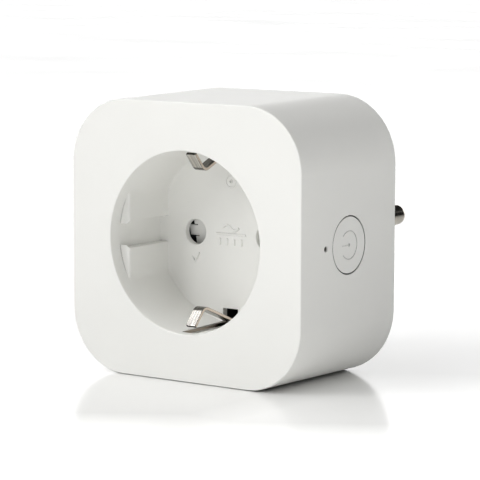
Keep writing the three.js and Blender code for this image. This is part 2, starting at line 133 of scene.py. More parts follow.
def loft(rings, closed=False):
    """A mesh through rings of equally many points. A ring of one point is a pole."""
    mesh = bmesh.new()
    rows = [[mesh.verts.new(device(*point)) for point in ring] for ring in rings]
    pairs = list(zip(rows, rows[1:]))
    if closed:
        pairs.append((rows[-1], rows[0]))
    for low, high in pairs:
        count = max(len(low), len(high))
        for i in range(count):
            j = (i + 1) % count
            if len(low) == 1:
                mesh.faces.new((low[0], high[j], high[i]))
            elif len(high) == 1:
                mesh.faces.new((low[i], low[j], high[0]))
            else:
                mesh.faces.new((low[i], low[j], high[j], high[i]))
    bmesh.ops.recalc_face_normals(mesh, faces=mesh.faces)
    return mesh


def directions(count):
    """Angles spaced evenly round a circle."""
    return [2 * pi * i / count for i in range(count)]


def lathe(profile, segments=64, centre=(0, 0), closed=False):
    """Turned about the depth axis through centre = (x, z): profile holds (radius, y)."""
    x, z = centre
    rings = []
    for radius, y in profile:
        angles = directions(segments) if radius else [0]
        rings.append([(x + radius * cos(a), y, z + radius * sin(a)) for a in angles])
    return loft(rings, closed)


def side_lathe(profile, y, z, segments=64):
    """Turned about a line square to the leaning right-hand wall at depth y and height z.

    profile holds (radius, x), with x measured outwards from the wall's surface.
    """
    foot = Vector((FACE_HALF + DRAFT * y / DEPTH, y, z))
    turned = Matrix.Rotation(-LEAN, 4, "Z")
    rings = []
    for radius, x in profile:
        angles = directions(segments) if radius else [0]
        rings.append([
            tuple(foot + turned @ Vector((x, radius * cos(a), radius * sin(a)))) for a in angles
        ])
    return loft(rings)


def capped(mesh):
    """Closes the two open ends of a bar or tube."""
    edges = [edge for edge in mesh.edges if edge.is_boundary]
    bmesh.ops.holes_fill(mesh, edges=edges, sides=0)
    bmesh.ops.recalc_face_normals(mesh, faces=mesh.faces)
    return mesh


def bar(outline, low, high):
    """A solid bar: an outline of (y, z) points extruded along x."""
    return capped(loft([[(x, y, z) for y, z in outline] for x in (low, high)]))


def box(x, y, z):
    outline = [(y[0], z[0]), (y[1], z[0]), (y[1], z[1]), (y[0], z[1])]
    return bar(outline, *x)


def spans(inner, outer):
    """The range from inner to outer on each side of the axis."""
    return ((inner, outer), (-outer, -inner))


def as_object(mesh, name):
    data = bpy.data.meshes.new(name)
    mesh.to_mesh(data)
    mesh.free()
    obj = bpy.data.objects.new(name, data)
    bpy.context.scene.collection.objects.link(obj)
    return obj


def carve(obj, tools, operation="DIFFERENCE"):
    """Cuts the tools, which are bmeshes, out of the object, or joins them to it."""
    for tool in tools:
        cutter = as_object(tool, "cutter")
        step = obj.modifiers.new("carve", "BOOLEAN")
        step.operation = operation
        step.solver = "EXACT"
        step.object = cutter
        settle(obj)
        bpy.data.objects.remove(cutter)


def settle(obj):
    """Applies the object's modifiers to its mesh."""
    depsgraph = bpy.context.evaluated_depsgraph_get()
    data = bpy.data.meshes.new_from_object(obj.evaluated_get(depsgraph))
    obj.modifiers.clear()
    old = obj.data
    obj.data = data
    bpy.data.meshes.remove(old)


CREASE = radians(35)  # edges that bend more than this stay crisp


def finish_piece(obj, material, body, slot, *nodes):
    """Smooth shading with crisp edges, a material, a body to ride on, and nodes replaced."""
    obj.data.materials.clear()
    obj.data.materials.append(material)
    obj.data.shade_smooth()
    mesh = bmesh.new()
    mesh.from_mesh(obj.data)
    for edge in mesh.edges:
        edge.smooth = len(edge.link_faces) == 2 and edge.calc_face_angle(pi) < CREASE
    mesh.to_mesh(obj.data)
    mesh.free()
    weighted = obj.modifiers.new("weighted", "WEIGHTED_NORMAL")
    weighted.keep_sharp = True
    weighted.weight = 60
    settle(obj)
    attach(obj, body)
    if nodes:
        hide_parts(*nodes)
    return obj


# --------------------------------------------------------------------------- materials


class Tree:
    """A node tree with short calls for what the finishes and the world share."""

    def __init__(self, tree):
        self.tree = tree

    def node(self, kind, inputs=None, **settings):
        """A new node; each input is a value or another node's output."""
        node = self.tree.nodes.new("ShaderNode" + kind)
        for key, value in settings.items():
            setattr(node, key, value)
        for key, value in (inputs or {}).items():
            if isinstance(value, bpy.types.NodeSocket):
                self.tree.links.new(value, node.inputs[key])
            else:
                node.inputs[key].default_value = value
        return node

    def spread(self, value, low, high, start=0.3, end=0.7):
        """The value's range from start to end, mapped to low to high and held there."""
        inputs = {"Value": value, "From Min": start, "From Max": end, "To Min": low, "To Max": high}
        return self.node("MapRange", inputs).outputs["Result"]

    def colours(self, value, first, second, start=0.3, end=0.7):
        ramp = self.node("ValToRGB", {"Fac": value})
        ramp.color_ramp.elements[0].position = start
        ramp.color_ramp.elements[0].color = (*first, 1)
        ramp.color_ramp.elements[1].position = end
        ramp.color_ramp.elements[1].color = (*second, 1)
        return ramp.outputs["Color"]

    def maths(self, operation, *values):
        return self.node("Math", dict(enumerate(values)), operation=operation).outputs["Value"]

    def along(self, vector, direction):
        """How far a vector reaches in a direction."""
        inputs = {0: vector, 1: direction}
        return self.node("VectorMath", inputs, operation="DOT_PRODUCT").outputs["Value"]

    def part(self, vector, axis):
        return self.node("SeparateXYZ", {"Vector": vector}).outputs[axis]

    def mixed(self, share, first, second, blend="MIX"):
        inputs = {0: share, 6: first, 7: second}
        return self.node("Mix", inputs, data_type="RGBA", blend_type=blend).outputs[2]

    def product(self, first, second):
        return self.mixed(1, first, second, "MULTIPLY")


class Finish(Tree):
    """A material's node tree, with its shader and the piece's own coordinates."""

    def __init__(self, name, **settings):
        self.material = bpy.data.materials.new(name)
        self.material.use_nodes = True
        super().__init__(self.material.node_tree)
        self.shader = self.tree.nodes["Principled BSDF"]
        for socket, value in settings.items():
            self.shader.inputs[socket.replace("_", " ")].default_value = value
        self.place = self.node("TexCoord").outputs["Object"]

    def stretched(self, scale):
        return self.node("Mapping", {"Vector": self.place, "Scale": scale}).outputs["Vector"]

    def noise(self, scale, detail=3.0, vector=None, rough=0.5):
        inputs = {"Vector": vector or self.place, "Scale": scale, "Detail": detail}
        inputs["Roughness"] = rough
        return self.node("TexNoise", inputs).outputs["Fac"]

    def link(self, output, socket):
        self.tree.links.new(output, self.shader.inputs[socket])

    def bump(self, height, strength, distance):
        inputs = {"Height": height, "Strength": strength, "Distance": distance}
        self.link(self.node("Bump", inputs).outputs["Normal"], "Normal")


def scaled(colour, share):
    return tuple(share * channel for channel in colour)


def moulded_plastic(name, colour, roughness=0.36, tint=0.985):
    """Satin moulding: flow clouds, a fine spark-eroded grain, and painted shade that darkens narrow
    gaps and crevices.
    """
    look = Finish(name, IOR=1.5)
    clouds = look.colours(look.noise(scale=55, detail=2), scaled(colour, tint), colour)
    # painted shade: ambient occlusion darkens the colour in narrow gaps, creases and corners
    openness = look.node("AmbientOcclusion", {"Distance": 0.6 * MM}, samples=8).outputs["AO"]
    painted_gap_shade = look.spread(openness, 0.15, 1, start=0.2, end=0.75)
    look.link(look.product(clouds, painted_gap_shade), "Base Color")
    grain = look.noise(scale=9000, detail=2)
    look.link(look.spread(grain, roughness - 0.05, roughness + 0.07), "Roughness")
    look.bump(grain, strength=0.25, distance=0.02 * MM)
    return look.material


PAINTED_SHADE_SHARE = 0.3  # the share of the colour left where painted shade darkens a strip


def plated_strip(name, colour, edge_colour, painted_shade_range=None):
    """Plated sheet metal: rolling lines along its length, and bare sheared edges.

    The optional last argument holds the range of the object's own normal along the depth over
    which painted shade darkens the bend, the inner faces and the tip's end, standing in for
    their dark reflections; faces turned to the front stay bright.
    """
    look = Finish(name, Metallic=1.0)
    streaks = look.noise(scale=3000, detail=2, vector=look.stretched((1, 0.02, 0.02)))
    bright = look.colours(streaks, scaled(colour, 0.62), colour, start=0.35, end=0.55)
    stains = look.colours(look.noise(scale=420), (0.9, 0.9, 0.9), (1, 1, 1))
    face = look.product(bright, stains)
    if painted_shade_range:
        # painted shade: faces turned less towards the front are darkened, standing in for dark
        # reflections
        depthwise = look.part(look.node("TexCoord").outputs["Normal"], "Y")
        face = look.product(face, look.spread(depthwise, 1, PAINTED_SHADE_SHARE, *painted_shade_range))
    sideways = look.part(look.node("NewGeometry").outputs["Normal"], "X")
    sheared = look.spread(look.maths("ABSOLUTE", sideways), 0, 1, start=0.75, end=0.9)
    look.link(look.mixed(sheared, face, (*edge_colour, 1)), "Base Color")
    lines = look.noise(scale=2600, detail=4, vector=look.stretched((1, 0.04, 0.04)))
    look.link(look.spread(lines, 0.09, 0.21), "Roughness")
    look.bump(lines, strength=0.12, distance=0.01 * MM)
    return look.material


def turned_metal(name, colour, roughness=0.12):
    """Turned and plated metal: fine rings from the lathe along the depth."""
    look = Finish(name, Metallic=1.0)
    look.link(look.colours(look.noise(scale=500), scaled(colour, 0.88), colour), "Base Color")
    rings = look.noise(scale=1500, vector=look.stretched((0.02, 1, 0.02)))
    look.link(look.spread(rings, roughness - 0.05, roughness + 0.06), "Roughness")
    look.bump(rings, strength=0.1, distance=0.01 * MM)
    return look.material


def rough_solid(name, first, second, scale, roughness, metallic=0.0):
    """A mottled finish for moulded, coated, sintered or printed parts."""
    look = Finish(name, Metallic=metallic)
    mottle = look.noise(scale, detail=4, rough=0.6)
    look.link(look.colours(mottle, first, second), "Base Color")
    look.link(look.spread(mottle, roughness - 0.08, roughness + 0.08), "Roughness")
    look.bump(mottle, strength=0.3, distance=0.05 * MM)
    return look.material


def circuit_board(name):
    """Green solder mask over copper tracks."""
    look = Finish(name)
    cells = look.node("TexVoronoi", {"Vector": look.place, "Scale": 420.0},
                      feature="DISTANCE_TO_EDGE", distance="CHEBYCHEV").outputs["Distance"]
    tracks = look.spread(cells, 0, 1, start=0.04, end=0.07)
    mask = look.colours(tracks, (0.02, 0.16, 0.07), (0.01, 0.09, 0.035), start=0.4, end=0.6)
    look.link(mask, "Base Color")
    look.link(look.spread(look.noise(scale=900), 0.3, 0.45), "Roughness")
    look.bump(tracks, strength=0.4, distance=0.04 * MM)
    return look.material


def wound_copper(name):
    """Layered enamelled wire: close turns about the depth axis."""
    look = Finish(name, Metallic=0.9)
    turns = look.node("TexWave", {"Vector": look.place, "Scale": 900.0, "Distortion": 0.4},
                      bands_direction="Y").outputs["Fac"]
    look.link(look.colours(turns, (0.25, 0.08, 0.03), (0.65, 0.27, 0.1)), "Base Color")
    look.link(look.spread(turns, 0.25, 0.4), "Roughness")
    look.bump(turns, strength=0.6, distance=0.08 * MM)
    return look.material


def clear_acrylic(name, colour, clearness):
    """Acrylic with a faint haze; clearness is the share of the light that passes through."""
    look = Finish(name, IOR=1.49, Transmission_Weight=clearness)
    haze = look.noise(scale=1200, detail=2)
    look.link(look.colours(haze, scaled(colour, 0.93), colour), "Base Color")
    look.link(look.spread(haze, 0.08, 0.2), "Roughness")
    return look.material


WHITE = moulded_plastic("white_moulding", (0.902, 0.9, 0.87))
GREY = moulded_plastic("grey_moulding", (0.84, 0.84, 0.81), 0.42)
# the earth clips' nickel, with painted shade on every face not turned to the front
CLIP_NICKEL = plated_strip("nickel_clip", (0.78, 0.75, 0.7), (0.7, 0.6, 0.52), (-0.735, -0.69))
NICKEL = plated_strip("nickel_strip", (0.78, 0.75, 0.7), (0.7, 0.6, 0.52))
PIN_METAL = turned_metal("nickel_turned", (0.66, 0.62, 0.55))
SCREW_METAL = turned_metal("zinc_screw", (0.5, 0.51, 0.53), 0.3)
BRASS = rough_solid("brass_strip", (0.5, 0.33, 0.1), (0.66, 0.46, 0.16), 700, 0.3, metallic=1.0)
COPPER = rough_solid("copper_strip", (0.5, 0.22, 0.1), (0.66, 0.32, 0.16), 700, 0.3, metallic=1.0)
STEEL = rough_solid("plated_steel", (0.42, 0.43, 0.45), (0.55, 0.56, 0.58), 600, 0.32, metallic=1.0)
BLACK = moulded_plastic("black_moulding", (0.022, 0.022, 0.024), 0.5, 0.8)
YELLOW = rough_solid("yellow_film", (0.6, 0.38, 0.04), (0.72, 0.5, 0.08), 300, 0.4)
CERAMIC = rough_solid("epoxy_coat", (0.02, 0.12, 0.38), (0.04, 0.18, 0.5), 900, 0.35)
FERRITE = rough_solid("sintered_ferrite", (0.035, 0.035, 0.04), (0.07, 0.07, 0.075), 1800, 0.6)
BOARD = circuit_board("circuit_board")
WINDING = wound_copper("enamelled_winding")
CLEAR = clear_acrylic("clear_acrylic", (0.8, 0.85, 0.87), 0.85)
SMOKED = clear_acrylic("smoked_acrylic", (0.035, 0.022, 0.012), 0.2)

# ---------------------------------------------------------------------- polar outlines


def soft_max(a, b, blend):
    """The larger of two lengths, with the corner where they cross rounded over blend."""
    over = max(blend - abs(a - b), 0) / blend
    return max(a, b) + over * over * blend / 4


def soft_min(a, b, blend):
    return -soft_max(-a, -b, blend)


def round_square(angle, half, corner):
    """Distance from the axis to a rounded square, in one direction."""
    c, s = abs(cos(angle)), abs(sin(angle))
    core = half - corner
    if half * min(c, s) <= core * max(c, s):
        return half / max(c, s)
    return core * (c + s) + sqrt(corner ** 2 - core ** 2 * (c - s) ** 2)


def notched(angle, radius, flat, groove, blend):
    """A circle with flats at both sides, each flat left out between the groove's two edges."""
    c, s = abs(cos(angle)), sin(angle)
    edge = groove[1] if s > 0 else -groove[0]
    inward = soft_max(flat / max(c, 0.01), edge / max(abs(s), 0.001), blend)
    return soft_min(radius, inward, blend) if inward < radius + blend else radius


def loop_angles(*spots):
    """Directions for one ring, closer together near the given angles in degrees."""
    step, fine_step, fine_count = 1.25, 0.12, 9
    found = {round(step * i, 3) for i in range(round(360 / step))}
    for spot in spots:
        for mirrored in (spot, 180 - spot):
            found |= {round((mirrored + fine_step * k) % 360, 3)
                      for k in range(-fine_count, fine_count + 1)}
    return [radians(a) for a in sorted(found)]


def groove_spots(flat, groove, radius):
    """The angles in degrees where a notched circle's flats and grooves have their corners."""
    low, high = groove
    reach = degrees(acos(flat / radius))
    return (degrees(atan2(high, radius)), degrees(atan2(high, flat)), reach, -reach,
            degrees(atan2(low, radius)), degrees(atan2(low, flat)))


def quarter_turn(steps):
    """Angles from nothing to a right angle in equal steps."""
    return [pi / 2 * k / steps for k in range(steps + 1)]


def ring(angles, y, distance):
    """A closed ring of points at depth y; distance(angle) is its distance from the axis."""
    return [(distance(a) * cos(a), y, distance(a) * sin(a)) for a in angles]


# ----------------------------------------------------------------------- front housing


def housing_shell():
    """Face, side walls and socket cup as one closed skin, ring by ring.

    The rings start in the middle of the recess floor and run up its wall, over the rim and
    face, down the sides and back inside to the rear of the cup.
    """
    angles = loop_angles(*groove_spots(GUIDE_FLAT, GUIDE_GROOVE, FLOOR_RADIUS))
    quarter = quarter_turn(5)
    floor_round = 0.35
    guide_round = 0.6
    rim_round = 0.25
    edge_round = 0.28
    rear_round = 0.15
    inside_round = 0.6
    cup_foot = 0.5
    cup_round = 0.4

    def recess_radius(y):
        return RIM_RADIUS + (FLOOR_RADIUS - RIM_RADIUS) * y / RECESS_DEPTH

    def guides(y, outward=0.0):
        groove = (GUIDE_GROOVE[0] + outward, GUIDE_GROOVE[1] - outward)
        return lambda a: notched(a, recess_radius(y), GUIDE_FLAT + outward, groove, BLEND)

    def circle(radius):
        return lambda a: radius

    def square(inset, y):
        half = FACE_HALF + DRAFT * y / DEPTH - inset
        corner = CORNER + DRAFT * y / DEPTH - inset
        return lambda a: round_square(a, half, corner)

    rings = [[(0, RECESS_DEPTH, 0)]]
    floor = guides(RECESS_DEPTH)
    for share in (0.12, 0.3, 0.5, 0.7, 0.85, 0.95):
        rings.append(ring(angles, RECESS_DEPTH, lambda a, k=share: k * (floor(a) - floor_round)))
    for t in quarter:
        inset = floor_round * (1 - sin(t))
        y = RECESS_DEPTH - floor_round * (1 - cos(t))
        rings.append(ring(angles, y, lambda a, k=inset: floor(a) - k))
    for share in (0.75, 0.5, 0.25):
        y = GUIDE_START + share * (RECESS_DEPTH - GUIDE_START)
        rings.append(ring(angles, y, guides(y)))
    for t in quarter:
        y = GUIDE_START + guide_round * (1 - sin(t))
        rings.append(ring(angles, y, guides(y, guide_round * (1 - cos(t)))))
    for y in (GUIDE_START - 0.06, GUIDE_START - 0.5, 1.6):
        rings.append(ring(angles, y, circle(recess_radius(y))))
    for t in quarter:
        y = rim_round * (1 - sin(t))
        rings.append(ring(angles, y, circle(RIM_RADIUS + rim_round * (1 - cos(t)))))

    face_inner = 20.5
    face = square(edge_round, 0)
    rings.append(ring(angles, 0, lambda a: (face_inner + face(a)) / 2))
    for t in quarter:
        y = edge_round * (1 - cos(t))
        rings.append(ring(angles, y, square(edge_round * (1 - sin(t)), y)))
    for y in (6, 12, 18, 24, 30):
        rings.append(ring(angles, y, square(0, y)))
    for t in quarter:
        y = DEPTH - rear_round * (1 - sin(t))
        rings.append(ring(angles, y, square(rear_round * (1 - cos(t)), y)))

    rings.append(ring(angles, DEPTH, square(WALL - rear_round, DEPTH)))
    for y in (DEPTH - rear_round, 24, 12, WALL + inside_round):
        rings.append(ring(angles, y, square(WALL, y)))
    rings.append(ring(angles, WALL, square(WALL + inside_round, WALL)))
    rings.append(ring(angles, WALL, circle(CUP_RADIUS + cup_foot)))
    rings.append(ring(angles, WALL + cup_foot, circle(CUP_RADIUS)))
    rings.append(ring(angles, FLOOR_BACK - cup_round, circle(CUP_RADIUS)))
    rings.append(ring(angles, FLOOR_BACK, circle(CUP_RADIUS - cup_round)))
    rings.append(ring(angles, FLOOR_BACK, circle(CUP_RADIUS / 2)))
    rings.append([(0, FLOOR_BACK, 0)])
    return loft(rings)


def flared_hole(radius, mouth, bottom, lip, centre):
    """A round cutter along the depth whose mouth widens by the radius lip."""
    profile = [(0, mouth - 1), (radius + lip, mouth - 1), (radius + lip, mouth)]
    for t in quarter_turn(5)[1:]:
        profile.append((radius + lip * (1 - sin(t)), mouth + lip * (1 - cos(t))))
    return lathe(profile + [(radius, bottom), (0, bottom)], 64, centre)


def side_hole(radius, lip, y, z):
    """A round cutter through the right-hand wall with a softened mouth."""
    depth = 2 * WALL
    profile = [(0, 1), (radius + lip, 1), (radius + lip, 0)]
    for t in quarter_turn(4)[1:]:
        profile.append((radius + lip * (1 - sin(t)), lip * (cos(t) - 1)))
    return side_lathe(profile + [(radius, -depth), (0, -depth)], y, z, 96)


def clip_slot(side):
    """Two boxes that open the cup's wall and the edge of its floor for an earth clip."""
    across = (-SLOT_HALF, SLOT_HALF)
    through_wall = sorted((side * (FLOOR_RADIUS - 1), side * SLOT_OUTER))
    through_floor = sorted((side * SLOT_INNER, side * SLOT_OUTER))
    return [box(across, (SLOT_START, FLOOR_BACK + 1), through_wall),
            box(across, (RECESS_DEPTH - 0.3, FLOOR_BACK + 1), through_floor)]


def relief(path, width, height, base, closed=False):
    """A raised ribbon on the recess floor along (x, z) points, narrower at its top."""
    count = len(path)
    root = 0.05  # how far its foot is sunk into the floor
    mesh = bmesh.new()
    rows = []
    for i, (x, z) in enumerate(path):
        before = path[(i - 1) % count] if closed or i else path[0]
        after = path[(i + 1) % count] if closed or i < count - 1 else path[-1]
        along = Vector((after[0] - before[0], after[1] - before[1])).normalized()
        side = Vector((-along.y, along.x))
        section = [(-0.5, 0), (-0.3, 1), (0.3, 1), (0.5, 0)]  # shares of width and height
        rows.append([mesh.verts.new(device(
            x + side.x * width * u, base - height * v + root * (1 - v), z + side.y * width * u,
        )) for u, v in section])
    pairs = list(zip(rows, rows[1:]))
    if closed:
        pairs.append((rows[-1], rows[0]))
    for low, high in pairs:
        for k in range(4):
            mesh.faces.new((low[k], low[(k + 1) % 4], high[(k + 1) % 4], high[k]))
    if not closed:
        mesh.faces.new(rows[0])
        mesh.faces.new(rows[-1][::-1])
    bmesh.ops.recalc_face_normals(mesh, faces=mesh.faces)
    return mesh


def circle_path(x, z, radius, count=32):
    return [(x + radius * cos(a), z + radius * sin(a)) for a in directions(count)]


def floor_marks():
    """Generic raised marks: a wave over a bar with pips below, a tick and a ringed dot."""
    height, ring_height = 0.26, 0.16
    base = RECESS_DEPTH
    wave = [(-2.2 + 4.4 * k / 24, 1.55 + 0.55 * sin(2 * pi * k / 24)) for k in range(25)]
    straight = [(-3.8, 0.1), (0.1, 0.1), (4.0, 0.1)]
    tick = [(-10.4, -5.5), (-9.6, -6.5), (-8.4, -4.6)]
    marks = [
        relief(wave, 0.55, height, base),
        relief(straight, 0.5, height, base),
        relief(tick, 0.5, height, base),
        relief(circle_path(0, 11.7, 1.3), 0.32, ring_height, base, closed=True),
        relief(circle_path(0, 11.7, 0.35, 12), 0.3, ring_height, base, closed=True),
    ]
    for x in (-2.85, -0.95, 0.95, 2.85):
        marks.append(relief([(x, -2.3), (x, -0.9)], 0.6, height, base))
    return marks


def front_housing():
    shell = as_object(housing_shell(), "front_shell")
    root = WALL - 0.4  # posts and pockets reach into the face plate
    pocket_half, pocket_wall = 3.3, 1.2
    extras = []
    for side in (1, -1):
        walls = sorted((side * (CUP_RADIUS - 0.8), side * (SLOT_OUTER + pocket_wall)))
        extras.append(box((-pocket_half, pocket_half), (root, FLOOR_BACK - 0.02), walls))
    end, bore_start = COVER_FRONT - 0.3, 22
    post = [(0, root), (POST_RADIUS, root), (POST_RADIUS, end - 0.2), (POST_RADIUS - 0.2, end),
            (POST_BORE, end), (POST_BORE, bore_start), (0, bore_start)]
    for x in (-POST, POST):
        for z in (-POST, POST):
            extras.append(lathe(post, 32, (x, z)))
    carve(shell, extras, "UNION")
    cutters = clip_slot(1) + clip_slot(-1)
    for x in (-PIN_X, PIN_X):
        cutters.append(flared_hole(PIN_HOLE, RECESS_DEPTH, FLOOR_BACK + 1, 0.22, (x, 0)))
    cutters.append(side_hole(BUTTON_RADIUS + BUTTON_GAP, 0.06, BUTTON_DEPTH, BUTTON_Z))
    cutters.append(side_hole(LED_HOLE, 0.08, LED_DEPTH, BUTTON_Z))
    carve(shell, cutters)
    mesh = bmesh.new()
    mesh.from_mesh(shell.data)
    for mark in floor_marks():
        data = bpy.data.meshes.new("mark")
        mark.to_mesh(data)
        mark.free()
        mesh.from_mesh(data)
        bpy.data.meshes.remove(data)
    mesh.to_mesh(shell.data)
    mesh.free()
    return finish_piece(shell, WHITE, "case", "white_plastic", "front_housing")


front_housing()

# -------------------------------------------------------------------------- rear cover


def rear_cover():
    """Back plate and plug boss as one closed skin, hollow inside."""
    groove_half = 9.8  # half the angle of an earth groove, in degrees
    groove_side = 0.5  # the angle in which its side rises
    corners = groove_spots(BOSS_FLAT, (-BOSS_RIB, BOSS_RIB), BOSS_RADIUS)
    angles = loop_angles(*corners, 90 - groove_half, groove_half - 90)
    quarter = quarter_turn(4)
    groove_start, notch_start = 37.8, 38.8
    rise = 0.1  # half the depth over which a groove or notch begins
    cavity_half_x, cavity_half_z, cavity_radius = 15, 14.6, 16.7
    plate_gap = 0.35  # to the side walls around it
    plate_round = 0.3
    foot = 0.6
    end_round = 0.8

    def plain(radius):
        return lambda a: radius

    def outline(inset, notches):
        def distance(a):
            radius = BOSS_RADIUS - inset
            if notches:
                rib = BOSS_RIB - inset
                radius = notched(a, radius, BOSS_FLAT - inset, (-rib, rib), BLEND)
            from_vertical = abs(abs(degrees(a) % 360 - 180) - 90)
            deep = (EARTH_GROOVE - inset) / abs(sin(a)) if abs(sin(a)) > 0.5 else radius
            share = min(max((groove_half - from_vertical) / groove_side + 0.5, 0), 1)
            return radius + (deep - radius) * share * share * (3 - 2 * share)
        return distance

    def plate(inset):
        half = FACE_HALF - WALL + DRAFT - plate_gap - inset
        return lambda a: round_square(a, half, half - (FACE_HALF - CORNER))

    def cavity(a):
        wall = min(cavity_half_x / max(abs(cos(a)), 0.01), cavity_half_z / max(abs(sin(a)), 0.01))
        return soft_min(cavity_radius, wall, 0.8)

    inner_end = BOSS_END - 2.5
    inner_mouth = COVER_FRONT + plate_round
    rings = [[(0, inner_end, 0)], ring(angles, inner_end, lambda a: 0.6 * cavity(a))]
    rings += [ring(angles, y, cavity) for y in (inner_end, 44, inner_mouth)]
    rings.append(ring(angles, COVER_FRONT, lambda a: cavity(a) + plate_round))
    rings.append(ring(angles, COVER_FRONT, plate(plate_round)))
    rings.append(ring(angles, inner_mouth, plate(0)))
    for t in quarter:
        y = DEPTH - plate_round * (1 - sin(t))
        rings.append(ring(angles, y, plate(plate_round * (1 - cos(t)))))
    for t in quarter:
        y = DEPTH + foot * (1 - cos(t))
        rings.append(ring(angles, y, plain(BOSS_RADIUS + foot * (1 - sin(t)))))
    rings.append(ring(angles, groove_start - rise, plain(BOSS_RADIUS)))
    for y in (groove_start + rise, notch_start - rise):
        rings.append(ring(angles, y, outline(0, False)))
    for y in (notch_start + rise, 44, 49):
        rings.append(ring(angles, y, outline(0, True)))
    for t in quarter:
        y = BOSS_END - end_round * (1 - sin(t))
        rings.append(ring(angles, y, outline(end_round * (1 - cos(t)), True)))
    end = outline(end_round, True)
    for share in (0.8, 0.5, 0.2):
        rings.append(ring(angles, BOSS_END, lambda a, k=share: k * end(a)))
    rings.append([(0, BOSS_END, 0)])
    cover = as_object(loft(rings), "back_shell")

    def boss_hole(radius, lip, straight_end, x, z):
        """A round cutter through the plug face, widened by lip over the last stretch."""
        start, mouth, beyond = 50, straight_end + 0.4, 56
        profile = [(0, start), (radius, start), (radius, straight_end), (radius + lip, mouth),
                   (radius + lip, beyond), (0, beyond)]
        return lathe(profile, 48, (x, z))

    pin_fit, sleeve_fit = PIN_RADIUS + 0.06, SLEEVE_RADIUS + 0.15
    cutters = [boss_hole(pin_fit, 0.34, 53.95, x, 0) for x in (-PIN_X, PIN_X)]
    cutters.append(boss_hole(sleeve_fit, 0.35, 53.9, 0, SLEEVE_Z))
    slot_half, slot_depths, slot_reach = 2.6, (38.2, 39.6), (14, 17.2)  # for an earth contact
    for side in (1, -1):
        ends = sorted(side * z for z in slot_reach)
        cutters.append(box((-slot_half, slot_half), slot_depths, ends))
    hole, seat, mouth = 1.35, 2.7, 3.05  # radii of a screw's hole, its head's seat and the mouth
    screw_hole = [(0, 33), (hole, 33), (hole, 34.8), (seat, 34.8), (seat, 35.7),
                  (mouth, 36.05), (mouth, 37), (0, 37)]
    for x in (-POST, POST):
        for z in (-POST, POST):
            cutters.append(lathe(screw_hole, 40, (x, z)))
    carve(cover, cutters)
    return finish_piece(cover, WHITE, "case", "white_plastic", "rear_cover")


rear_cover()

# ---------------------------------------------------------------- pins and earth parts


def plug_pin(name, x):
    """A turned pin with a flange inside the boss and a rounded tip."""
    tail, flange = 1.8, 3.6  # radii
    root, flange_start, flange_end = 46, 50.3, 51.4
    corners = [(0, root, 0), (tail, root, 0.3), (tail, flange_start, 0),
               (flange, flange_start, 0.2), (flange, flange_end, 0.2),
               (PIN_RADIUS, flange_end, 0), (PIN_RADIUS, TIP - PIN_RADIUS, 0)]
    profile = fillet(corners)
    for t in quarter_turn(12)[1:-1]:
        profile.append((PIN_RADIUS * cos(t), TIP - PIN_RADIUS + PIN_RADIUS * sin(t)))
    profile.append((0, TIP))
    pin = as_object(lathe(profile, 64, (x, 0)), f"{name}_blade")
    return finish_piece(pin, PIN_METAL, "case", "nickel", f"{name}_pin")


plug_pin("live", PIN_X)
plug_pin("neutral", -PIN_X)

CLIP_WIDTH = 2.6
CLIP_THICKNESS = 0.7
CLIP_APEX = (6.1, 14.05)
CLIP_BEND = 2.2
CLIP_FRONT = radians(48.4)
CLIP_REAR = radians(21.64)
CLIP_LEG = 5.35
CLIP_PIVOT_DEPTH = 20.2


def strip(stations, width, thickness, edge):
    """A sheet strip: stations hold a centre point (y, r) and its outward normal.

    The section is a rectangle with softened edges of the radius edge.
    """
    half, thin = width / 2, thickness / 2
    section = fillet([(0, -thin, 0), (half, -thin, edge), (half, thin, edge),
                      (-half, thin, edge), (-half, -thin, edge), (0, -thin, 0)], 3)[:-1]
    rings = []
    for (y, r), (ny, nr), scale in stations:
        rings.append([(u * scale, y + ny * v * scale, r + nr * v * scale) for u, v in section])
    return rings


def earth_clip(name, side, raised=0.0):
    """A sprung V of nickel-plated strip with sheared edges and a rounded root."""
    front = Vector((-cos(CLIP_FRONT), sin(CLIP_FRONT)))
    rear = Vector((cos(CLIP_REAR), sin(CLIP_REAR)))
    apex = Vector(CLIP_APEX)
    outward = Vector((-rear.y, rear.x))
    reach = CLIP_BEND * tan((CLIP_FRONT + CLIP_REAR) / 2)
    centre = apex + rear * reach + outward * CLIP_BEND
    middle = CLIP_BEND - CLIP_THICKNESS / 2
    tip_normal = Vector((sin(CLIP_FRONT), cos(CLIP_FRONT)))
    tip = apex + front * CLIP_LEG + tip_normal * (CLIP_THICKNESS / 2)
    pivot = apex + rear * ((CLIP_PIVOT_DEPTH - apex.x) / rear.x) + outward * CLIP_THICKNESS / 2
    stations = [(tip, tip_normal, 0.93), (tip - front * 0.03, tip_normal, 0.98),
                (tip - front * 0.08, tip_normal, 1)]
    steps = 14
    for k in range(steps + 1):
        angle = -pi / 2 - CLIP_FRONT + (CLIP_FRONT + CLIP_REAR) * k / steps
        arm = Vector((cos(angle), sin(angle)))
        stations.append((centre + arm * middle, -arm, 1))
    for share in (0.35, 0.7, 1):
        stations.append((stations[steps + 3][0].lerp(pivot, share), outward, 1))
    stations.append((pivot + rear * 0.25, outward, 0.75))
    stations = [((p.x, p.y), (n.x, n.y), scale) for p, n, scale in stations]
    rings = strip(stations, CLIP_WIDTH, CLIP_THICKNESS, edge=0.16)
    rings = [[(side * x, y, side * z + raised) for x, y, z in points] for points in rings]
    clip = as_object(capped(loft(rings)), f"{name}_leaf")
    body = {"top": "upper_earth_clip", "bottom": "lower_earth_clip"}[name.split("_")[-1]]
    return finish_piece(clip, CLIP_NICKEL, body, "nickel", name)


earth_clip("earth_clip_top", 1, raised=0.6)
earth_clip("earth_clip_bottom", -1)


